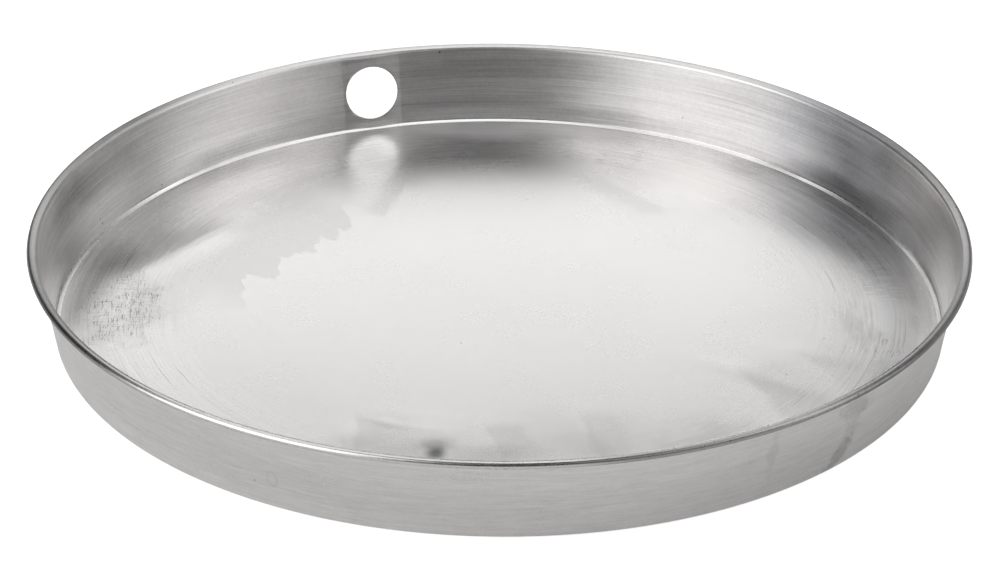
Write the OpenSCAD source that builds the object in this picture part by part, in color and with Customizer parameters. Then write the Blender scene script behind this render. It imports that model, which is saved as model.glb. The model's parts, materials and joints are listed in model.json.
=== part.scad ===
// Round drain pan: one sheet of aluminium spun into a shallow pan with a drafted
// wall, an outward lip that ends in a rolled bead, and one outlet hole for a drain
// fitting in a flattened patch of the wall.
// The origin is at the centre of the underside, +Z points up out of the pan, and
// the outlet is at the back, turned a little from +Y towards -X.

/* [Pan] */
// Diameter over the rolled rim, mm
rim_d = 660.4; // [400:0.1:900]
// Height from the underside to the top of the rim, mm
pan_h = 63; // [58:0.5:90]
// Thickness of the sheet, mm
sheet_t = 0.8; // [0.5:0.1:1.2]
// Lean of the wall outward from vertical, degrees
wall_draft = 8.5; // [3:0.5:14]
// Inside radius of the bend between floor and wall, mm
base_bend_r = 2.9; // [1:0.1:6]

/* [Rim] */
// Radius of the top of the bend between wall and lip, mm
lip_bend_r = 5; // [3:0.5:7]
// Slope of the lip above horizontal, degrees
lip_slope = 20; // [0:10:30]
// Length of the straight part of the lip, mm
lip_flat = 1.4; // [0.4:0.1:8]
// Outside diameter of the rolled bead, mm
bead_d = 4.8; // [3.6:0.1:6]
// How far round the bead is rolled, degrees
bead_turn = 230; // [190:10:260]

/* [Outlet] */
// Diameter of the outlet hole, mm
drain_d = 43; // [20:0.5:44]
// Height of the middle of the outlet hole, mm
drain_z = 30.4; // [27:0.1:33]
// Angle of the outlet from +Y towards -X, degrees
drain_turn = 19.25; // [0:0.25:360]
// Width of the flattened patch around the outlet, mm
pad_w = 48; // [46:1:60]

/* [Hidden] */
$fn = 96;

// Degrees between the points of a bend in the cross-section.
bend_step = 10;

// The cross-section is drawn in [radius, height]. The rim comes first: the bead's
// middle, the lip's directions along and out of its top, and the lip's two ends.
bead_r = bead_d / 2;
bead_mid = [rim_d / 2 - bead_r, pan_h - bead_r];
lip_out = [cos(lip_slope), sin(lip_slope)];
lip_up = [-sin(lip_slope), cos(lip_slope)];
lip_end = bead_mid + bead_r * lip_up;
lip_start = lip_end - lip_flat * lip_out;
lip_mid = lip_start - lip_bend_r * lip_up;

// The wall hangs from the lip's bend: its directions up the slope and out through
// the sheet, its top on the inside, and the height that it drops to the floor's bend.
wall_up = [sin(wall_draft), cos(wall_draft)];
wall_out = [cos(wall_draft), -sin(wall_draft)];
wall_top = lip_mid - lip_bend_r * wall_out;
base_bend_outer = base_bend_r + sheet_t;
wall_foot_z = base_bend_outer - base_bend_r * sin(wall_draft);
wall_foot = wall_top - (wall_top[1] - wall_foot_z) / cos(wall_draft) * wall_up;
base_mid = wall_foot - base_bend_r * wall_out;

// The flattened patch: its outer face is a chord of the wall at the outlet's height,
// and it stops just short of the bends above and below.
wall_outer_r = wall_foot[0] + (drain_z - wall_foot[1]) * tan(wall_draft) + sheet_t / cos(wall_draft);
pad_r = sqrt(pow(wall_outer_r, 2) - pow(pad_w / 2, 2));
pad_margin = 1.5;
pad_shoulder = 1;
pad_low = (drain_z - wall_foot[1] - pad_margin) / cos(wall_draft);
pad_high = (wall_top[1] - drain_z - pad_margin) / cos(wall_draft);
cut_depth = 6;

// Points along an arc, from one angle to another.
function arc(mid, r, from, to) =
    let (steps = ceil(abs(to - from) / bend_step))
    [for (i = [0:steps]) let (a = from + (to - from) * i / steps) mid + r * [cos(a), sin(a)]];

// Cross-section of the sheet: out along the underside to the end of the bead's roll,
// and back along the top to the pan's axis.
module section() {
    floor_angle = -90;
    wall_angle = -wall_draft;
    lip_angle = 90 + lip_slope;
    roll_end = lip_angle - bead_turn;
    polygon(concat(
        [[0, 0]],
        arc(base_mid, base_bend_outer, floor_angle, wall_angle),
        arc(lip_mid, lip_bend_r - sheet_t, 180 + wall_angle, lip_angle),
        arc(bead_mid, bead_r - sheet_t, lip_angle, roll_end),
        arc(bead_mid, bead_r, roll_end, lip_angle),
        arc(lip_mid, lip_bend_r, lip_angle, 180 + wall_angle),
        arc(base_mid, base_bend_r, wall_angle, floor_angle),
        [[0, sheet_t]]
    ));
}

// Moves its children to the middle of the patch's outer face, +Y out of the wall and +Z up it.
module at_outlet() {
    rotate([0, 0, drain_turn])
        translate([0, pad_r, drain_z])
            rotate([-wall_draft, 0, 0])
                children();
}

// The metal between the patch's inner face and the wall's outer face.
module pad_stock() {
    through = sheet_t * wall_out;
    intersection() {
        rotate_extrude()
            polygon([
                [0, wall_foot[1]],
                wall_foot + through,
                wall_top + through,
                [0, wall_top[1]]
            ]);
        at_outlet()
            translate([-pad_w, -sheet_t, -pad_low - pad_shoulder])
                cube([2 * pad_w, cut_depth, pad_low + pad_high + 2 * pad_shoulder]);
    }
}

// The space outside the patch's outer face.
module pad_relief() {
    at_outlet()
        translate([-pad_w, 0, -pad_low])
            cube([2 * pad_w, cut_depth, pad_low + pad_high]);
}

module pan() {
    color("silver")
        difference() {
            union() {
                rotate_extrude()
                    section();
                pad_stock();
            }
            pad_relief();
            at_outlet()
                rotate([90, 0, 0])
                    cylinder(d = drain_d, h = 2 * cut_depth, center = true);
        }
}

pan();
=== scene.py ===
"""Round spun-aluminium drain pan: one sheet with a drafted wall, a rolled rim and a side outlet."""

import json
import math

import bpy
from mathutils import Matrix, Vector, noise


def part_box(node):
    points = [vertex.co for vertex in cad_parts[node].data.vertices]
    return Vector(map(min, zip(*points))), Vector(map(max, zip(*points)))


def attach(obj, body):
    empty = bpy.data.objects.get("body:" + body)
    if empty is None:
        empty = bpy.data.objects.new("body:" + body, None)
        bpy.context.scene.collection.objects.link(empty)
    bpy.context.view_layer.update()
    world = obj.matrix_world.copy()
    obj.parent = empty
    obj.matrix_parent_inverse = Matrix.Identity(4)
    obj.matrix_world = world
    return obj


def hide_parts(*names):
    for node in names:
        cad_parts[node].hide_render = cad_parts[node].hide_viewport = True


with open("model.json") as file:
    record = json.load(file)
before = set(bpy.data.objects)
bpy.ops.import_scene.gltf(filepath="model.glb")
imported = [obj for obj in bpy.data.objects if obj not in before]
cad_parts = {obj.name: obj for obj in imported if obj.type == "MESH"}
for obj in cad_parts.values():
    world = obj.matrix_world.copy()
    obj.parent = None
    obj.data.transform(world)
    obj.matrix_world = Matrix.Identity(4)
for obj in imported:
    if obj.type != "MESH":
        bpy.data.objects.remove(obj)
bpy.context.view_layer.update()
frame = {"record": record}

# ---------------------------------------------------------------- sizes, metres and radians

LOW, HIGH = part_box("pan")
MOUNTS = {m["name"]: m for m in frame["record"]["mounts"]}
OUTLET = MOUNTS["outlet"]

RIM_R = (HIGH.x - LOW.x) / 2
PAN_H = HIGH.z
SHEET = MOUNTS["pan_floor"]["pos_m"][2]
HALF = SHEET / 2
DRAFT = math.asin(-OUTLET["axis"][2])
BASE_BEND_R = 0.0029
LEDGE_SLOPE = math.radians(30)
LEDGE_BEND_R = 0.0012
LEDGE_FLAT = 0.0026
FOOT_BEND_R = 0.0012
LIP_BEND_R = 0.0036
LIP_SLOPE = math.radians(20)
LIP_FLAT = 0.0022
BEAD_R = 0.0024
BEAD_TURN = math.radians(230)
LEDGE_STEPS, FOOT_STEPS, LIP_STEPS, BEAD_STEPS = 3, 5, 8, 16

OUTLET_AT = Vector(OUTLET["pos_m"])
OUTLET_R = OUTLET["dims"]["r_mm"] / 1000
OUTLET_ANGLE = math.atan2(OUTLET_AT.y, OUTLET_AT.x)
PAD_HALF = 0.024
EDGE_ROUND = 0.00018


# ---------------------------------------------------------------- the section, in (radius, height)


def turned(angle):
    return Vector((math.cos(angle), math.sin(angle)))


LIP_UP = turned(math.pi / 2 + LIP_SLOPE)
LIP_OUT = turned(LIP_SLOPE)
WALL_OUT = turned(-DRAFT)
WALL_UP = turned(math.pi / 2 - DRAFT)
BEAD_MID = Vector((RIM_R - BEAD_R, PAN_H - BEAD_R))
LIP_MID = BEAD_MID + (BEAD_R - LIP_BEND_R) * LIP_UP - LIP_FLAT * LIP_OUT
LIP_START = LIP_MID + LIP_BEND_R * LIP_UP
WALL_TOP = LIP_MID - LIP_BEND_R * WALL_OUT
WALL_FOOT_Z = SHEET + BASE_BEND_R * (1 - math.sin(DRAFT))
WALL_LEN = (WALL_TOP.y - WALL_FOOT_Z) / math.cos(DRAFT)
WALL_FOOT = WALL_TOP - WALL_LEN * WALL_UP
WALL_ANGLE, LIP_ANGLE = -DRAFT, math.pi / 2 + LIP_SLOPE

# Where the floor meets the wall there is a narrow sloped ledge. These are of the middle of the metal.
LEDGE_ANGLE = LEDGE_SLOPE - math.pi / 2
LEDGE_RISE = (
    LEDGE_BEND_R * (1 - math.cos(LEDGE_SLOPE))
    + LEDGE_FLAT * math.sin(LEDGE_SLOPE)
    + FOOT_BEND_R * (math.cos(LEDGE_SLOPE) - math.sin(DRAFT))
)
LEDGE_RUN = (
    LEDGE_BEND_R * math.sin(LEDGE_SLOPE)
    + LEDGE_FLAT * math.cos(LEDGE_SLOPE)
    + FOOT_BEND_R * (math.cos(DRAFT) - math.sin(LEDGE_SLOPE))
)
FOOT_MID = WALL_FOOT + HALF * WALL_OUT
LEDGE_TOP = FOOT_MID + (HALF + LEDGE_RISE - FOOT_MID.y) / WALL_UP.y * WALL_UP
FLOOR_R = LEDGE_TOP.x - LEDGE_RUN

FLOOR, BASE_BEND, WALL, LIP, BEAD = range(5)
PATCH_CELLS = 16
PATCH_STEPS = [PAD_HALF * (2 * i / PATCH_CELLS - 1) for i in range(PATCH_CELLS + 1)]


class Row:
    """A ring of the sheet: its place in the middle of the metal, the way inside, and the part it is of.

    Every says how many columns apart its points are.
    """

    def __init__(self, place, inward, part, every=1):
        self.place, self.inward, self.part, self.every = place, inward, part, every


def bend_rows(mid, radius, start, end, steps, side, part, first=1):
    """Rows round a bend of the sheet's middle. Side is 1 where the bend's outer face is inside the pan."""
    rows = []
    for i in range(first, steps + 1):
        out = turned(start + (end - start) * i / steps)
        rows.append(Row(mid + radius * out, side * out, part))
    return rows


# Zones of the floor, from its centre: where each ends as a share of the radius, its rows inside and
# under the pan, and how many columns apart their points are.
FLOOR_ZONES = [(0.25, 5, 5, 4), (0.5, 9, 9, 2), (0.96, 46, 22, 1), (1.0, 8, 5, 1)]


def floor_rows(side):
    rows, start = [], 0.0
    for end, inside, under, every in FLOOR_ZONES:
        steps = inside if side > 0 else under
        for i in range(1, steps + 1):
            radius = FLOOR_R * (start + (end - start) * i / steps)
            rows.append(Row(Vector((radius, HALF)), Vector((0, 1)), FLOOR, every))
        start = end
    return rows


def outlet_height():
    """How far up the wall's slope the outlet's middle is."""
    return (OUTLET_AT.z - WALL_FOOT.y - HALF * WALL_OUT.y) / WALL_UP.y


def wall_rows():
    """Rows up the wall: those that cross the outlet's patch, and one at the wall's top."""
    foot = WALL_FOOT + HALF * WALL_OUT
    heights = [h + outlet_height() for h in PATCH_STEPS] + [WALL_LEN]
    return [Row(foot + h * WALL_UP, -WALL_OUT, WALL) for h in heights]


def sheet_rows(side):
    """All rows of one face of the sheet, from the floor's centre to the end of the bead's roll."""
    ledge_mid = Vector((FLOOR_R, HALF + LEDGE_BEND_R))
    foot_mid = LEDGE_TOP - FOOT_BEND_R * WALL_OUT
    return (
        floor_rows(side)
        + bend_rows(ledge_mid, LEDGE_BEND_R, -math.pi / 2, LEDGE_ANGLE, LEDGE_STEPS, -1, BASE_BEND)
        + bend_rows(foot_mid, FOOT_BEND_R, LEDGE_ANGLE, WALL_ANGLE, FOOT_STEPS, -1, BASE_BEND, 0)
        + wall_rows()
        + bend_rows(LIP_MID, LIP_BEND_R - HALF, math.pi + WALL_ANGLE, LIP_ANGLE, LIP_STEPS, 1, LIP)
        + bend_rows(BEAD_MID, BEAD_R - HALF, LIP_ANGLE, LIP_ANGLE - BEAD_TURN, BEAD_STEPS, 1, BEAD)
    )


WALL_R = WALL_FOOT.x + HALF + outlet_height() * WALL_UP.x
PAD_ANGLE = math.asin(PAD_HALF / WALL_R)
PAD_R = WALL_R * math.cos(PAD_ANGLE)


# ---------------------------------------------------------------- dents, ripples and the flattened patch


def smooth(low, high, value):
    t = min(max((value - low) / (high - low), 0.0), 1.0)
    return t * t * (3 - 2 * t)


# Dents in the floor: angle in degrees and share of the floor's radius, then the dent's length along
# the circle and across it, and its height.
DENTS = [
    (-101, 0.670, 0.0450, 0.0350, 0.00050),
    (-101, 0.690, 0.0070, 0.0060, -0.00070),
    (-113, 0.620, 0.0120, 0.0035, 0.00014),
    (-108, 0.615, 0.0240, 0.0030, 0.00007),
    (-116, 0.690, 0.0140, 0.0140, 0.00022),
    (-91, 0.665, 0.0180, 0.0120, 0.00020),
    (-72, 0.670, 0.0120, 0.0300, 0.00030),
    (-32, 0.720, 0.0100, 0.0500, 0.00026),
    (-20, 0.800, 0.0090, 0.0400, 0.00022),
]
RIPPLE_TURN = math.radians(-62)
FLOOR_SWAY = 0.00040
FLOOR_RIPPLE = 0.00005
WALL_SWAY = 0.0003


def floor_lift(x, y):
    """How far the sheet of the floor is sprung up from flat. It is never pushed below flat."""
    radius, angle = math.hypot(x, y), math.atan2(y, x)
    share = radius / FLOOR_R
    if share >= 1:
        return 0.0
    still = 1 - smooth(0.88, 1.0, share)
    sway = FLOOR_SWAY * (1 + noise.noise(Vector((x * 6, y * 6, 4.2))))
    along = x * math.cos(RIPPLE_TURN) + y * math.sin(RIPPLE_TURN)
    across = y * math.cos(RIPPLE_TURN) - x * math.sin(RIPPLE_TURN)
    wrinkle = noise.noise(Vector((along * 9, across * 42, 1.7)))
    ripple = FLOOR_RIPPLE * smooth(0.35, 0.7, share) * (1 + wrinkle)
    dents = 0.0
    for degrees, at, length, width, height in DENTS:
        turn = math.remainder(angle - math.radians(degrees), 2 * math.pi)
        d = (turn * radius / length) ** 2 + ((radius - at * FLOOR_R) / width) ** 2
        dents += height * math.exp(-d)
    return still * max(sway + ripple + dents, 0.0)


def wall_sway(angle, height):
    """The wall's slight wave inward, most of it half-way up."""
    rise = smooth(0, 0.02, height) * (1 - 0.7 * smooth(0.045, PAN_H, height))
    wave = noise.noise(Vector((math.cos(angle) * 2.6, math.sin(angle) * 2.6, height * 14)))
    return -WALL_SWAY * rise * (1 + wave)


def flattening(part, height):
    """How fully the patch's flat takes over from the round wall at a height: all of it on the wall."""
    if part == FLOOR:
        return 0.0
    begun = smooth(SHEET, WALL_FOOT.y + 0.001, height)
    ended = smooth(WALL_TOP.y - 0.001, PAN_H - 0.0005, height)
    return begun * (1 - ended)


def on_sheet(angle, row, side):
    """The point of the sheet at an angle round the pan. Side is 1 inside, 0 in the metal, -1 outside."""
    radius, height = row.place
    turn = math.remainder(angle - OUTLET_ANGLE, 2 * math.pi)
    if row.part == FLOOR:
        height += floor_lift(radius * math.cos(angle), radius * math.sin(angle))
    else:
        if abs(turn) < PAD_ANGLE:
            radius *= 1 - flattening(row.part, height) * (1 - math.cos(PAD_ANGLE) / math.cos(turn))
        near = 1 - smooth(PAD_ANGLE, 3 * PAD_ANGLE, abs(turn))
        radius += (1 - near) * wall_sway(angle, height)
    radius += side * HALF * row.inward.x
    height += side * HALF * row.inward.y
    return Vector((radius * math.cos(angle), radius * math.sin(angle), height))


# ---------------------------------------------------------------- the mesh


COLUMN_COUNT = 440
CREASE = 0.0006


def column_angles():
    """Angles round the pan from the outlet, and how many lie on the patch.

    They are close over the patch, with one beside each of its creases, and even over the rest.
    """
    inner = sorted(PATCH_STEPS + [CREASE - PAD_HALF, PAD_HALF - CREASE])
    across = [-PAD_HALF - CREASE] + inner + [PAD_HALF + CREASE]
    angles = [math.atan2(x, PAD_R) for x in across]
    rest = 2 * math.pi - (angles[-1] - angles[0])
    count = COLUMN_COUNT - len(across) + 1
    return angles + [angles[-1] + rest * i / count for i in range(1, count)], len(inner)


COLUMNS, PATCH_COLUMNS = column_angles()
HOLE_RINGS = 4
RING_CROWDING = 1.5


def outlet_plane(angle, row):
    """Where a column and row of the patch lie on its face: (across, up) from the outlet's middle."""
    return Vector((PAD_R * math.tan(angle), (row.place.y - OUTLET_AT.z) / WALL_UP.y))


def patch_point(across, up, side):
    """The point of the patch at a place on its face."""
    place = WALL_FOOT + HALF * WALL_OUT + (outlet_height() + up) * WALL_UP
    angle = OUTLET_ANGLE + math.atan2(across, PAD_R)
    return on_sheet(angle, Row(place, -WALL_OUT, WALL), side)


class Builder:
    """Vertices and faces of the pan, with each face's material slot."""

    def __init__(self):
        self.points, self.faces, self.slots = [], [], []

    def add(self, point):
        self.points.append(point)
        return len(self.points) - 1

    def face(self, corners, slot, flip=False):
        self.faces.append(corners[::-1] if flip else corners)
        self.slots.append(slot)

    def join(self, outer, inner, slot, flip):
        """Faces between two rings of the same number of points."""
        count = len(outer)
        for n in range(count):
            m = (n + 1) % count
            self.face([outer[n], inner[n], inner[m], outer[m]], slot, flip)

    def join_double(self, outer, inner, slot, flip):
        """Faces between an outer ring and an inner ring of half as many points."""
        count = len(inner)
        for n in range(count):
            m = (n + 1) % count
            a, b, c = outer[2 * n], outer[2 * n + 1], outer[2 * m]
            self.face([inner[n], a, b], slot, flip)
            self.face([inner[n], b, inner[m]], slot, flip)
            self.face([inner[m], b, c], slot, flip)


IN_FLOOR, IN_WALL, OUTSIDE = range(3)


def slot_of(part, side):
    if side < 0:
        return OUTSIDE
    return IN_FLOOR if part == FLOOR else IN_WALL


def patch_border(rows, columns):
    """The grid points round the cells left out for the outlet, in order: up, along the top, down and back."""
    low, high, left, right = rows[0], rows[-1] + 1, columns[0], columns[-1] + 1
    up = [(i, left) for i in range(low, high)]
    top = [(high, j) for j in range(left, right)]
    down = [(i, right) for i in range(high, low, -1)]
    back = [(low, j) for j in range(right, left, -1)]
    return up + top + down + back


def build_skin(build, side):
    """One face of the sheet. Returns its last row and the ring of points around the outlet's edge."""
    flip = side < 0
    sheet = sheet_rows(side)
    angles = [OUTLET_ANGLE + a for a in COLUMNS]
    grid = [[build.add(on_sheet(a, row, side)) for a in angles[:: row.every]] for row in sheet]
    centre = build.add(Vector((0, 0, HALF + floor_lift(0, 0) + side * HALF)))
    first = grid[0]
    for j in range(len(first)):
        build.face([centre, first[j], first[(j + 1) % len(first)]], slot_of(FLOOR, side), flip)
    patch_row = next(i for i, row in enumerate(sheet) if row.part == WALL)
    rows = range(patch_row, patch_row + PATCH_CELLS)
    columns = range(1, PATCH_COLUMNS)
    for i in range(len(sheet) - 1):
        slot = slot_of(sheet[i + 1].part, side)
        if i in rows:
            count = len(angles)
            for j in range(count):
                k = (j + 1) % count
                if j not in columns:
                    build.face([grid[i][j], grid[i + 1][j], grid[i + 1][k], grid[i][k]], slot, flip)
        elif sheet[i].every == sheet[i + 1].every:
            build.join(grid[i], grid[i + 1], slot, flip)
        else:
            build.join_double(grid[i + 1], grid[i], slot, flip)
    border = patch_border(rows, columns)
    ring = [grid[i][j] for i, j in border]
    around = [outlet_plane(COLUMNS[j], sheet[i]) for i, j in border]
    for step in range(1, HOLE_RINGS + 1):
        share = 1 - (1 - step / HOLE_RINGS) ** RING_CROWDING
        inner = []
        for at in around:
            edge = at.normalized() * (OUTLET_R + EDGE_ROUND)
            inner.append(build.add(patch_point(*at.lerp(edge, share), side)))
        build.join(ring, inner, slot_of(WALL, side), not flip)
        ring = inner
    return grid[-1], ring, around


def build_outlet_edge(build, inside, outside, around):
    """The punched edge of the outlet, through the sheet, with its corners just broken."""
    depth = 1 - EDGE_ROUND / HALF
    rings = [inside]
    for side in (depth, -depth):
        rings.append([build.add(patch_point(*(a.normalized() * OUTLET_R), side)) for a in around])
    rings.append(outside)
    for a, b in zip(rings, rings[1:]):
        build.join(a, b, IN_WALL, True)


def build_pan():
    build = Builder()
    inside_end, inside_ring, around = build_skin(build, 1)
    outside_end, outside_ring, _ = build_skin(build, -1)
    build_outlet_edge(build, inside_ring, outside_ring, around)
    build.join(inside_end, outside_end, OUTSIDE, False)
    mesh = bpy.data.meshes.new("drain_pan")
    mesh.from_pydata(build.points, [], build.faces)
    mesh.polygons.foreach_set("material_index", build.slots)
    mesh.polygons.foreach_set("use_smooth", [True] * len(build.faces))
    mesh.validate()
    mesh.update()
    piece = bpy.data.objects.new("drain_pan", mesh)
    bpy.context.scene.collection.objects.link(piece)
    return piece


# ---------------------------------------------------------------- materials


class Nodes:
    """Short ways to build a material's node tree."""

    def __init__(self, name):
        self.material = bpy.data.materials.new(name)
        self.material.use_nodes = True
        self.tree = self.material.node_tree
        self.tree.nodes.clear()

    def put(self, socket, value):
        if isinstance(value, bpy.types.NodeSocket):
            self.tree.links.new(value, socket)
        else:
            socket.default_value = value

    def node(self, kind, inputs=None, **settings):
        made = self.tree.nodes.new(kind)
        for name, value in settings.items():
            setattr(made, name, value)
        for name, value in (inputs or {}).items():
            self.put(made.inputs[name], value)
        return made

    def math(self, operation, *values):
        made = self.node("ShaderNodeMath", operation=operation)
        for socket, value in zip(made.inputs, values):
            self.put(socket, value)
        return made.outputs[0]

    def times(self, *values):
        """The product of two or more values."""
        product = values[0]
        for value in values[1:]:
            product = self.math("MULTIPLY", product, value)
        return product

    def add(self, a, b):
        return self.math("ADD", a, b)

    def step(self, value, low, high):
        """0 where the value is low, 1 where it is high, and smooth between. Low may be the larger."""
        made = self.node(
            "ShaderNodeMapRange",
            {"Value": value, "From Min": low, "From Max": high},
            interpolation_type="SMOOTHSTEP",
        )
        return made.outputs[0]

    def vector(self, x, y, z):
        return self.node("ShaderNodeCombineXYZ", {"X": x, "Y": y, "Z": z}).outputs[0]

    def laid(self, place, at=(0, 0, 0), turn=0, size=(1, 1, 1)):
        """The place as measured from a frame at a point, turned about Z by degrees, in units of its size."""
        made = self.node(
            "ShaderNodeMapping",
            {"Vector": place, "Location": at, "Rotation": (0, 0, math.radians(turn)), "Scale": size},
            vector_type="TEXTURE",
        )
        return made.outputs[0]

    def noise(self, vector, detail=2.0, rough=0.5):
        """Noise about 0, mostly within 0.25 of it, whose features are about one unit across."""
        made = self.node(
            "ShaderNodeTexNoise",
            {"Vector": vector, "Scale": 1.0, "Detail": detail, "Roughness": rough},
        )
        return self.add(made.outputs["Fac"], -0.5)

    def cells(self, vector, feature, output):
        made = self.node("ShaderNodeTexVoronoi", {"Vector": vector, "Scale": 1.0}, feature=feature)
        return made.outputs[output]


# The tint of bare aluminium, and how it shifts in red, green and blue where the finish is cool.
WARM_TINT = (1.016, 1.0, 0.988)
COOL_SHIFT = (-0.022, -0.008, 0.055)
LEAST_ROUGH = 0.08


class Finish:
    """The finish of bare sheet as it builds up: how light, how rough and how raised, in mm, each place is."""

    def __init__(self, name, tone, rough):
        self.nodes = Nodes(name)
        self.tone, self.rough, self.relief, self.cool = tone, rough, 0.0, 0.0
        nodes = self.nodes
        self.place = nodes.node("ShaderNodeTexCoord").outputs["Object"]
        x, y, self.height = nodes.node("ShaderNodeSeparateXYZ", {"Vector": self.place}).outputs
        self.radius = nodes.math("SQRT", nodes.add(nodes.times(x, x), nodes.times(y, y)))
        safe = nodes.math("MAXIMUM", self.radius, 0.001)
        self.turn_x, self.turn_y = nodes.math("DIVIDE", x, safe), nodes.math("DIVIDE", y, safe)
        self.across = nodes.add(self.radius, self.height)

    def mark(self, where, tone=0.0, rough=0.0, relief=0.0):
        """Adds a mark. Where it is 1 the mark is full, and a texture swings about 0."""
        nodes = self.nodes
        if tone:
            self.tone = nodes.add(self.tone, nodes.times(where, tone))
        if rough:
            self.rough = nodes.add(self.rough, nodes.times(where, rough))
        if relief:
            self.relief = nodes.add(self.relief, nodes.times(where, relief))

    def lines(self, pitch, length, detail=2.0, seed=0.0):
        """Streaks that run round the pan: fine across, and as long as the share of a radian given."""
        nodes = self.nodes
        vector = nodes.vector(
            nodes.math("MULTIPLY_ADD", self.turn_x, 1 / length, seed),
            nodes.times(self.turn_y, 1 / length),
            nodes.times(self.across, 1 / pitch),
        )
        return nodes.noise(vector, detail, 0.6)

    def grain(self, size, detail=2.0, rough=0.5):
        return self.nodes.noise(self.nodes.laid(self.place, size=(size, size, size)), detail, rough)

    def strokes(self, turn, length, width, detail=1.0):
        """Noise drawn out along a direction, in degrees from +X."""
        return self.nodes.noise(self.nodes.laid(self.place, turn=turn, size=(length, width, length)), detail)

    def split(self, vector):
        return self.nodes.node("ShaderNodeSeparateXYZ", {"Vector": vector}).outputs[:2]

    def fill(self, vector, ragged=0.0, grain=0.01, core=0.45):
        """1 in the middle of the unit ball, up to the core, and 0 outside it, with a ragged edge if asked."""
        nodes = self.nodes
        distance = nodes.node("ShaderNodeVectorMath", {0: vector}, operation="LENGTH").outputs["Value"]
        if ragged:
            distance = nodes.add(distance, nodes.times(self.grain(grain, 3.0, 0.6), ragged))
        return nodes.step(distance, 1.0, core)

    def spot(self, at, turn, size, ragged=0.0, grain=0.01, core=0.45):
        """A filled ellipse on the floor, in metres, turned by degrees."""
        return self.fill(self.nodes.laid(self.place, (*at, 0), turn, (*size, 1)), ragged, grain, core)

    def on_wall(self, degrees, height, tilt, size):
        """The place on the wall as (along, up) from a point, degrees round from +X, in units of the size."""
        nodes = self.nodes
        angle = nodes.math("ARCTAN2", self.turn_y, self.turn_x)
        arc = nodes.times(nodes.add(angle, -math.radians(degrees)), RIM_R)
        flat = nodes.vector(arc, nodes.add(self.height, -height), 0.0)
        return nodes.laid(flat, turn=tilt, size=(*size, 1))

    def streak(self, start, end, width, wander=0.0):
        """A wiped streak from start to end, with a crisp edge that fades out over the width to its left."""
        nodes = self.nodes
        way = Vector(end) - Vector(start)
        turn = math.degrees(math.atan2(way.y, way.x))
        along, across = self.split(nodes.laid(self.place, (*start, 0), turn, (way.length, width, 1)))
        if wander:
            across = nodes.add(across, nodes.times(self.strokes(turn + 8, 0.05, 0.010, 2.0), wander))
        edge = nodes.times(nodes.step(across, -0.03, 0.14), nodes.step(across, 1.0, 0.25))
        return nodes.times(edge, nodes.step(along, -0.1, 0.2), nodes.step(along, 1.2, 0.75))

    def ring(self, start, full):
        """0 inside a share of the floor's radius and 1 beyond another."""
        return self.nodes.step(self.radius, start * FLOOR_R, full * FLOOR_R)

    def scratches(self, turn, length, width, share):
        """Separate scratches along a direction: the share is how strong the noise has to be to leave one."""
        return self.nodes.step(self.strokes(turn, length, width), share, share + 0.06)

    def specks(self, cell=0.028, size=0.0008):
        """Tiny pits, about as far apart as the cell."""
        distance = self.nodes.cells(self.nodes.laid(self.place, size=(cell, cell, cell)), "F1", "Distance")
        return self.nodes.step(distance, size / cell, 0.5 * size / cell)

    def material(self):
        nodes = self.nodes
        colour = nodes.node("ShaderNodeCombineColor")
        for socket, warm, shift in zip(colour.inputs, WARM_TINT, COOL_SHIFT):
            nodes.put(socket, nodes.times(self.tone, nodes.math("MULTIPLY_ADD", self.cool, shift, warm)))
        bump = nodes.node("ShaderNodeBump", {"Height": self.relief, "Strength": 1.0, "Distance": 0.001})
        shader = nodes.node(
            "ShaderNodeBsdfPrincipled",
            {
                "Base Color": colour.outputs[0],
                "Metallic": 1.0,
                "Roughness": nodes.math("MAXIMUM", self.rough, LEAST_ROUGH),
                "Normal": bump.outputs[0],
            },
        )
        out = nodes.node("ShaderNodeOutputMaterial")
        nodes.put(out.inputs[0], shader.outputs[0])
        return nodes.material


def add_satin(finish, tone, relief):
    """The satin grain of rolled sheet, its slow clouding and stray specks. Tone and relief scale it."""
    finish.mark(finish.grain(0.0009), tone=0.12 * tone, relief=0.0008 * relief)
    finish.mark(finish.grain(0.0020, 3.0, 0.6), tone=0.07 * tone, rough=0.06 * relief, relief=0.0012 * relief)
    finish.mark(finish.grain(0.010, 3.0, 0.6), tone=0.05 * tone, rough=0.04 * relief)
    finish.mark(finish.grain(0.060), tone=0.04, rough=0.05)
    finish.mark(finish.specks(), tone=-0.5, relief=-0.01)


def floor_metal():
    """The floor inside: spun lines that gather towards the wall, haze, scuffs and a crackle, with painted
    reflection and painted shade among the haze.
    """
    finish = Finish("spun_floor", 0.745, 0.27)
    nodes = finish.nodes
    add_satin(finish, 0.8, 0.2)
    ring = finish.ring(0.62, 0.9)
    finish.mark(ring, tone=0.05)
    finish.mark(nodes.times(finish.lines(0.0014, 0.30), ring), tone=0.26, relief=0.002)
    finish.mark(nodes.times(finish.lines(0.005, 0.5, seed=3.0), ring), tone=0.16, rough=0.08)
    arcs = nodes.step(finish.lines(0.0018, 0.35, seed=7.0), 0.13, 0.19)
    finish.mark(nodes.times(arcs, finish.ring(0.72, 0.80)), tone=-0.16)
    add_haze_and_painted_reflection(finish)
    add_scuffs(finish)
    add_crackle(finish)
    return finish.material()
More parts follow.
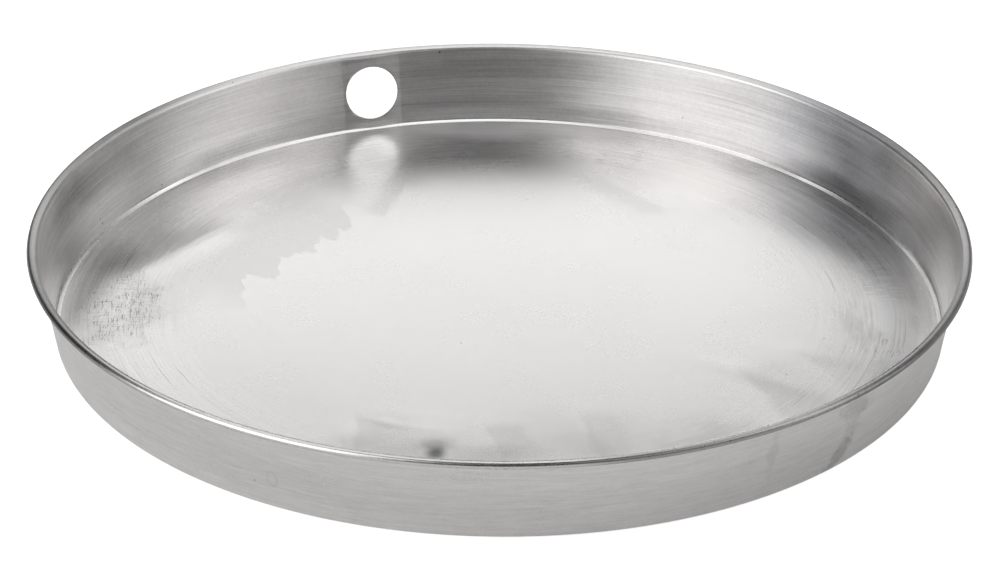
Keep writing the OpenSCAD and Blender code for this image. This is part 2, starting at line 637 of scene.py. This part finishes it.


# Streaks on the floor: start and end of the crisp edge, how far the streak fades out to its left, how
# much the edge wanders, and its tone. Most are wiped streaks, but the first is a painted dark reflection, the
# wedge by the wall at the left, and the second is painted light along its crisp edge.
STREAKS = [
    ((-0.276, 0.022), (-0.205, 0.112), 0.036, 0.25, -0.24),
    ((-0.205, 0.110), (-0.276, 0.020), 0.030, 0.25, 0.12),
    ((-0.068, 0.268), (-0.094, 0.190), 0.045, 0.10, -0.12),
    ((-0.086, 0.130), (-0.072, 0.190), 0.028, 0.4, -0.11),
    ((0.130, 0.142), (0.078, 0.212), 0.036, 0.4, -0.07),
    ((0.158, -0.100), (0.188, -0.172), 0.060, 0.20, -0.11),
    ((0.204, -0.070), (0.232, -0.130), 0.040, 0.40, -0.05),
    ((0.234, -0.010), (0.250, -0.070), 0.024, 0.40, -0.06),
    ((0.052, -0.160), (0.061, -0.224), 0.042, 0.50, -0.07),
    ((-0.008, -0.180), (0.000, -0.224), 0.040, 0.50, -0.07),
    ((-0.097, -0.164), (-0.100, -0.222), 0.064, 0.50, -0.08),
]


# Soft patches on the floor, partly wiped haze and partly painted reflection, lighter or darker where the
# studio is mirrored: middle, turn in degrees, half-sizes, tone and roughness. The last two are painted shade
# in and around the small dent at the front.
HAZE_AND_PAINTED_REFLECTION = [
    ((-0.106, 0.242), 10, (0.036, 0.050), -0.22, 0.0),
    ((-0.208, 0.165), 55, (0.100, 0.050), 0.20, 0.0),
    ((-0.285, 0.062), 72, (0.050, 0.028), -0.20, 0.0),
    ((0.212, 0.205), -45, (0.064, 0.040), -0.13, 0.0),
    ((0.195, 0.226), -40, (0.050, 0.032), -0.14, 0.0),
    ((0.155, 0.190), -40, (0.060, 0.050), 0.11, 0.0),
    ((0.278, -0.010), 0, (0.028, 0.160), 0.24, 0.06),
    ((-0.280, -0.002), 0, (0.026, 0.055), 0.12, 0.0),
    ((-0.240, -0.020), 0, (0.036, 0.066), -0.08, 0.0),
    ((0.050, -0.225), 0, (0.210, 0.080), -0.10, 0.0),
    ((0.142, -0.198), 30, (0.064, 0.044), -0.13, 0.0),
    ((-0.010, 0.300), 0, (0.160, 0.036), 0.22, 0.18),
    ((-0.0395, -0.2160), 0, (0.0105, 0.0125), -0.46, 0.0),
    ((-0.0400, -0.2080), 0, (0.0200, 0.0200), -0.14, 0.0),
]


def add_haze_and_painted_reflection(finish):
    """Wiped haze: a film at the left whose edge breaks into strokes, streaks with one crisp edge, and soft
    patches. Some streaks and patches are painted reflection and painted shade.
    """
    nodes = finish.nodes
    strokes = finish.strokes(-62, 0.06, 0.020, 4.0)
    along, across = finish.split(nodes.laid(finish.place, (-0.147, 0.072, 0), -118))
    reach = nodes.add(nodes.times(strokes, 0.11), nodes.times(across, -1.0))
    film = nodes.times(nodes.step(reach, -0.002, 0.006), nodes.step(across, -0.125, -0.04))
    film = nodes.times(film, nodes.step(along, -0.100, -0.06), nodes.step(along, 0.12, 0.06))
    finish.mark(film, tone=-0.095)
    for start, end, width, wander, tone in STREAKS:
        finish.mark(finish.streak(start, end, width, wander), tone=tone)
    # Soft patches, partly wiped haze and partly painted reflection and painted shade.
    for at, turn, size, tone, rough in HAZE_AND_PAINTED_REFLECTION:
        finish.mark(finish.spot(at, turn, size, ragged=0.8, grain=0.05, core=0.1), tone=tone, rough=rough)


# Scratched places on the floor: middle, half-sizes, the scratches' directions in degrees, and their tone.
SCRATCHED = [
    ((0.272, -0.075), (0.018, 0.035), (84, 70), -0.22),
    ((0.085, 0.245), (0.070, 0.020), (-14, -20), -0.20),
    ((-0.030, 0.262), (0.060, 0.024), (-3, 4), 0.12),
]


def add_scuffs(finish):
    """Short crossed scratches where things have been set down at the left, and worn arcs at the right."""
    nodes = finish.nodes
    area = finish.spot((-0.268, -0.022), 0, (0.032, 0.070), ragged=1.4, grain=0.02)
    finish.mark(area, tone=0.05, rough=0.06)
    for turn, width in ((3, 0.0008), (86, 0.0007), (97, 0.0011)):
        marks = finish.scratches(turn, 0.012, width, 0.10)
        finish.mark(nodes.times(marks, area), tone=-0.34, relief=-0.003)
    arcs = finish.spot((0.262, -0.045), 8, (0.026, 0.085), ragged=1.2, grain=0.02)
    finish.mark(nodes.times(finish.lines(0.0020, 0.10, seed=11.0), arcs), tone=0.40, relief=0.004)
    for at, size, turns, tone in SCRATCHED:
        area = finish.spot(at, 0, size, ragged=1.2, grain=0.02)
        for turn in turns:
            marks = finish.scratches(turn, 0.014, 0.0010, 0.12)
            finish.mark(nodes.times(marks, area), tone=tone, relief=-0.002)
    pitted = finish.spot((-0.16, -0.12), 30, (0.10, 0.05), ragged=1.0)
    finish.mark(nodes.times(finish.specks(0.006, 0.0007), pitted), tone=-0.18)


def add_crackle(finish):
    """Fine wrinkles of the sheet near the wall at the right."""
    nodes = finish.nodes
    vector = nodes.laid(finish.place, size=(0.015, 0.0055, 0.015))
    edges = nodes.step(nodes.cells(vector, "DISTANCE_TO_EDGE", "Distance"), 0.26, 0.04)
    area = finish.spot((0.278, 0.030), 0, (0.020, 0.045), ragged=1.0, grain=0.02)
    finish.mark(nodes.times(edges, area), tone=-0.11, relief=0.040)


# Broad patches on the wall inside, partly clouding of the metal and partly painted reflection and painted
# shade: degrees round the pan, height, half-sizes along and up, and tone.
CLOUDS_AND_PAINTED_REFLECTION = [
    (32, 0.006, (0.080, 0.018), -0.36),
    (45, 0.002, (0.040, 0.004), -0.30),
    (30, 0.046, (0.080, 0.028), -0.20),
    (21, 0.054, (0.070, 0.026), -0.27),
    (39, 0.026, (0.040, 0.020), 0.26),
    (14, 0.009, (0.050, 0.018), 0.34),
    (56, 0.008, (0.080, 0.014), -0.12),
    (72, 0.008, (0.075, 0.014), -0.26),
    (78, 0.030, (0.040, 0.034), 0.12),
    (90, 0.048, (0.110, 0.018), -0.18),
    (96, 0.006, (0.080, 0.011), 0.12),
    (102, 0.020, (0.060, 0.022), 0.06),
    (118, 0.030, (0.034, 0.032), 0.10),
    (133, 0.007, (0.085, 0.014), -0.26),
    (141, 0.001, (0.045, 0.005), -0.18),
    (163, 0.044, (0.095, 0.026), -0.34),
    (170, 0.013, (0.070, 0.022), 0.20),
    (171, 0.048, (0.060, 0.020), -0.14),
]


def wall_metal():
    """The wall inside, with the ledge below it and the rim above, which is the lip and then the bead."""
    finish = Finish("spun_wall", 0.80, 0.34)
    nodes = finish.nodes
    add_satin(finish, 1.0, 0.3)
    ledge = nodes.step(finish.height, LEDGE_TOP.y + 0.0006, LEDGE_TOP.y)
    rim = nodes.step(finish.radius, WALL_TOP.x - 0.0004, WALL_TOP.x + 0.0010)
    lip = nodes.step(finish.radius, LIP_START.x - 0.0020, LIP_START.x)
    bead = nodes.step(finish.radius, BEAD_MID.x - 0.0014, BEAD_MID.x - 0.0006)
    brushed = nodes.math("SUBTRACT", nodes.math("SUBTRACT", 1.0, ledge), rim)
    fine, middling, coarse = (
        nodes.times(finish.lines(pitch, length, seed=seed), brushed)
        for pitch, length, seed in ((0.0008, 0.22, 0.0), (0.0022, 0.40, 2.0), (0.009, 0.7, 5.0))
    )
    finish.mark(fine, tone=0.50, rough=0.08, relief=0.003)
    finish.mark(middling, tone=0.18, rough=0.10, relief=0.003)
    finish.mark(coarse, tone=0.12, rough=0.10)
    finish.mark(nodes.times(finish.grain(0.003, 3.0, 0.6), brushed), tone=0.18)
    bright = nodes.step(finish.lines(0.0016, 0.30, seed=9.0), 0.12, 0.2)
    finish.mark(nodes.times(bright, brushed), tone=0.09)
    finish.mark(finish.specks(0.040, 0.0012), tone=-0.50)
    below = nodes.math("SUBTRACT", 1.0, rim)
    # Patches that are partly clouding and partly painted reflection and painted shade, kept off the rim.
    for degrees, height, size, tone in CLOUDS_AND_PAINTED_REFLECTION:
        cloud_and_reflection = finish.fill(finish.on_wall(degrees, height, 0, size), ragged=0.5, grain=0.03, core=0.1)
        finish.mark(nodes.times(cloud_and_reflection, below), tone=tone)
    finish.cool = finish.fill(finish.on_wall(34, 0.036, 0, (0.130, 0.060)), ragged=0.3, grain=0.03, core=0.1)
    # The ledge and the rim are smoother than the brushed wall, but less so at the left and right ends.
    side = nodes.math("ABSOLUTE", finish.turn_y)
    ends = nodes.step(side, 0.62, 0.30)
    finish.mark(ledge, tone=0.10, rough=-0.17)
    # Painted shade: the ledge is darker towards its left and right ends, and more so at the right end.
    finish.mark(nodes.times(ledge, ends), tone=-0.20, rough=0.10)
    finish.mark(nodes.times(ledge, ends, nodes.step(finish.turn_x, 0.0, 0.5)), tone=-0.12)
    finish.mark(nodes.times(rim, finish.grain(0.006, 3.0, 0.6)), tone=0.14, rough=0.10)
    finish.mark(nodes.times(rim, nodes.math("SUBTRACT", 1.0, bead)), tone=0.08, rough=-0.08)
    finish.mark(nodes.times(rim, ends), rough=0.14)
    finish.mark(nodes.times(rim, nodes.step(finish.turn_y, 0.25, 0.75)), rough=0.12)
    # Painted shade: the lip is darker towards the ends, with painted light again at them, and the bead has
    # painted shade at the front right.
    finish.mark(nodes.times(lip, nodes.step(side, 0.86, 0.50)), tone=-0.56)
    finish.mark(nodes.times(lip, nodes.step(side, 0.50, 0.0)), tone=0.20)
    finish.mark(bead, rough=-0.06)
    front = nodes.times(
        nodes.step(finish.turn_y, -0.50, -0.75),
        nodes.step(finish.turn_x, 0.10, 0.28),
    )
    finish.mark(nodes.times(bead, front), tone=-0.34)
    return finish.material()


# Smudges on the outside: degrees round the pan, height, tilt, half-sizes along and up, and tone.
SMUDGES = [
    (-45, 0.045, -8, (0.018, 0.010), -0.15),
    (-45, 0.030, 60, (0.018, 0.007), -0.08),
    (-46.5, 0.011, 42, (0.022, 0.007), -0.22),
    (-57.7, 0.036, 0, (0.005, 0.022), -0.07),
    (-78, 0.020, 3, (0.030, 0.003), 0.05),
]


def outside_metal():
    """The outside and underside, with smudges on the wall in front and one faint round mark."""
    finish = Finish("spun_outside", 0.90, 0.30)
    nodes = finish.nodes
    add_satin(finish, 1.1, 1.0)
    finish.mark(finish.lines(0.0012, 0.06), tone=0.26, rough=0.06, relief=0.002)
    finish.mark(finish.lines(0.0040, 0.4, seed=4.0), tone=0.12, rough=0.06)
    for degrees, height, tilt, size, tone in SMUDGES:
        smudge = finish.fill(finish.on_wall(degrees, height, tilt, size), ragged=1.6, grain=0.006)
        finish.mark(smudge, tone=tone, rough=0.03)
    loop = finish.on_wall(-116, 0.024, 10, (0.0035, 0.0060))
    away = nodes.node("ShaderNodeVectorMath", {0: loop}, operation="LENGTH").outputs["Value"]
    finish.mark(nodes.times(nodes.step(away, 0.6, 0.9), nodes.step(away, 1.3, 1.0)), tone=-0.06)
    return finish.material()


# ---------------------------------------------------------------- floor, light and camera


TABLE_SIZE = 40


def plane(name, height, glow, far_glow):
    """A wide white plane that may glow all over, and glow more where it lies well behind the pan."""
    bpy.ops.mesh.primitive_plane_add(size=TABLE_SIZE, location=(0, 0, height))
    made = bpy.context.object
    made.name = name
    nodes = Nodes(name)
    place = nodes.node("ShaderNodeTexCoord").outputs["Object"]
    back = nodes.node("ShaderNodeSeparateXYZ", {"Vector": place}).outputs[1]
    away = nodes.node("ShaderNodeVectorMath", {0: place}, operation="LENGTH").outputs["Value"]
    behind = nodes.times(
        nodes.step(back, 0.0, 1.3 * RIM_R),
        nodes.step(away, 1.3 * RIM_R, 2.2 * RIM_R),
    )
    shader = nodes.node(
        "ShaderNodeBsdfPrincipled",
        {
            "Base Color": (0.9, 0.9, 0.9, 1),
            "Roughness": 0.9,
            "Specular IOR Level": 0.0,
            "Emission Color": (1, 1, 1, 1),
            "Emission Strength": nodes.math("MULTIPLY_ADD", behind, far_glow, glow),
        },
    )
    out = nodes.node("ShaderNodeOutputMaterial")
    nodes.put(out.inputs[0], shader.outputs[0])
    made.data.materials.append(nodes.material)
    return made


def make_stage():
    """A white table. The camera sees it brighter than the pan mirrors it, as a lit backdrop would be."""
    seen = plane("table_seen", -0.0002, 0.75, 0.0)
    seen.visible_glossy = seen.visible_diffuse = seen.visible_shadow = False
    bounce = plane("table_bounce", -0.0004, 0.0, 0.9)
    bounce.visible_camera = bounce.visible_shadow = False


def make_world(colour, strength):
    world = bpy.data.worlds.new("studio")
    world.use_nodes = True
    world.node_tree.nodes["Background"].inputs[0].default_value = (*colour, 1)
    world.node_tree.nodes["Background"].inputs[1].default_value = strength
    bpy.context.scene.world = world


WORLD_TINT, WORLD_GLOW = (0.92, 0.98, 1.10), 0.03
LIGHT_DISTANCE = 2.6
# Lamps: name, azimuth, elevation, width and height in degrees, and radiance.
SOFTBOXES = [
    ("left_low", 238, 12.5, 56, 25, 1.8),
    ("left_high", 238, 42, 52, 38, 1.45),
    ("right", 97, 28, 38, 55, 1.15),
    ("right_front", 139, 36, 28, 36, 0.5),
    ("back", -3, 24, 34, 20, 1.30),
    ("back_right", 53, 20, 20, 20, 0.75),
    ("back_top", 0, 45, 36, 16, 0.45),
    ("top", 0, 70, 60, 36, 1.05),
    ("top_right", 38, 42, 20, 18, 0.65),
]


def softbox(name, azimuth, elevation, width, height, radiance):
    """A lamp that faces the pan, with its size in degrees. Azimuth 0 is at the back (+Y), 90 at the right."""
    a, e = math.radians(azimuth), math.radians(elevation)
    way = Vector((math.sin(a) * math.cos(e), math.cos(a) * math.cos(e), math.sin(e)))
    lamp = bpy.data.lights.new(name, "AREA")
    lamp.shape = "RECTANGLE"
    lamp.size = 2 * LIGHT_DISTANCE * math.tan(math.radians(width / 2))
    lamp.size_y = 2 * LIGHT_DISTANCE * math.tan(math.radians(height / 2))
    lamp.energy = radiance * lamp.size * lamp.size_y * math.pi
    box = bpy.data.objects.new(name, lamp)
    box.location = way * LIGHT_DISTANCE
    box.rotation_mode = "QUATERNION"
    box.rotation_quaternion = way.to_track_quat("Z", "Y")
    box.visible_camera = False
    bpy.context.scene.collection.objects.link(box)


# The photo's view: a long lens in front of the pan, placed in radii of the rim.
VIEW_ELEVATION = math.radians(27.8)
VIEW_DISTANCE = 5.784 * RIM_R
VIEW_AIM = Vector((0.0017 * RIM_R, 0.0375 * RIM_R, 0))
VIEW_ROLL = 0.009
LENS = 95.9
SENSOR = 36


def make_camera():
    data = bpy.data.cameras.new("camera")
    data.sensor_width, data.lens = SENSOR, LENS
    camera = bpy.data.objects.new("camera", data)
    at = VIEW_DISTANCE * Vector((0, -math.cos(VIEW_ELEVATION), math.sin(VIEW_ELEVATION)))
    turn = (at - VIEW_AIM).to_track_quat("Z", "Y").to_matrix().to_4x4()
    camera.matrix_world = Matrix.Translation(at) @ turn @ Matrix.Rotation(VIEW_ROLL, 4, "Z")
    bpy.context.scene.collection.objects.link(camera)
    bpy.context.scene.camera = camera


pan = build_pan()
for made in (floor_metal(), wall_metal(), outside_metal()):
    pan.data.materials.append(made)
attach(pan, "root")
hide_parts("pan")

make_stage()
make_world(WORLD_TINT, WORLD_GLOW)
for lamp in SOFTBOXES:
    softbox(*lamp)
make_camera()
bpy.context.scene.view_settings.view_transform = "Standard"
